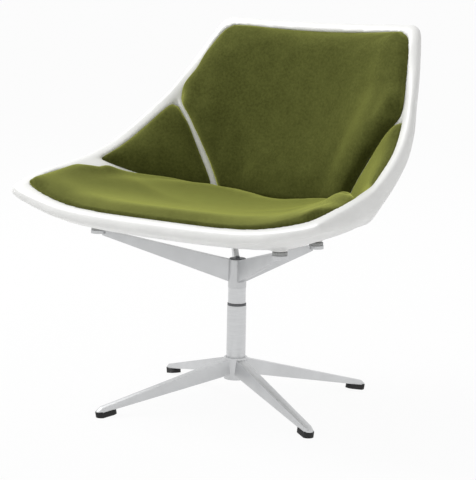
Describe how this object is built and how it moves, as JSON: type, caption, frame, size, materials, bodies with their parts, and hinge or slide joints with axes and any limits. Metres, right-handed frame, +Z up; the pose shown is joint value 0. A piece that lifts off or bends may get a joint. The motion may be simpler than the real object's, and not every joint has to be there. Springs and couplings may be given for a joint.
{
  "type": "swivel lounge chair",
  "caption": "Low swivel lounge chair: a wide moulded shell with inset cushions on a four-armed spider, a swivel column and a star base.",
  "frame": {"origin": "the swivel axis where it meets the floor", "axes": "+Z up along the swivel axis; the seat's front faces -Y; +X is the sitter's left"},
  "size_m": [0.7896, 0.5569, 0.7519],
  "materials": {
    "cast_base": "satin",
    "cast_spider": "satin",
    "column_tube": "satin",
    "turned_steel": "brushed",
    "dark_steel": "blackened",
    "ball_steel": "polished",
    "cage_brass": "satin",
    "bush_plastic": "matte",
    "dark_plastic": "matte",
    "foot_rubber": "matte",
    "puck_rubber": "matte light grey",
    "shell_white": "satin",
    "carrier_wood": "bare plywood",
    "wool": "felted wool"
  },
  "bodies": {
    "base": {"base_star": "cast_base", "foot_pad_1": "foot_rubber", "foot_pad_2": "foot_rubber", "foot_pad_3": "foot_rubber", "foot_pad_4": "foot_rubber", "foot_pad_screws": "dark_steel", "lower_column": "column_tube", "column_plug": "turned_steel", "base_bolt": "dark_steel", "base_washer": "turned_steel", "upper_bush": "bush_plastic", "lower_bush": "bush_plastic", "lower_race": "turned_steel", "seam_ring": "dark_plastic"},
    "bearing": {"bearing_cage": "cage_brass", "bearing_balls": "ball_steel"},
    "seat": {"upper_race": "turned_steel", "upper_sleeve": "column_tube", "spindle": "turned_steel", "retaining_washer": "turned_steel", "retaining_ring": "dark_steel", "spider": "cast_spider", "spindle_screw": "dark_steel", "hub_cap": "dark_plastic", "puck_front_left": "puck_rubber", "puck_front_right": "puck_rubber", "puck_rear_left": "puck_rubber", "puck_rear_right": "puck_rubber", "mount_screws": "dark_steel", "shell_inserts": "cage_brass", "shell": "shell_white", "seat_board": "carrier_wood", "back_board": "carrier_wood", "side_board_left": "carrier_wood", "side_board_right": "carrier_wood", "board_dowels": "carrier_wood", "seat_cushion": "wool", "back_cushion": "wool", "side_cushion_left": "wool", "side_cushion_right": "wool"}
  },
  "joints": [
    {"name": "swivel", "type": "hinge", "parent": "base", "child": "seat", "pos_m": [0, 0, 0.2], "axis": [0, 0, 1], "continuous": true},
    {"name": "cage_spin", "type": "hinge", "parent": "base", "child": "bearing", "pos_m": [0, 0, 0.2], "axis": [0, 0, 1], "continuous": true}
  ],
  "couplings": [
    {"joint": "cage_spin", "follows": "swivel", "ratio": 0.5}
  ]
}
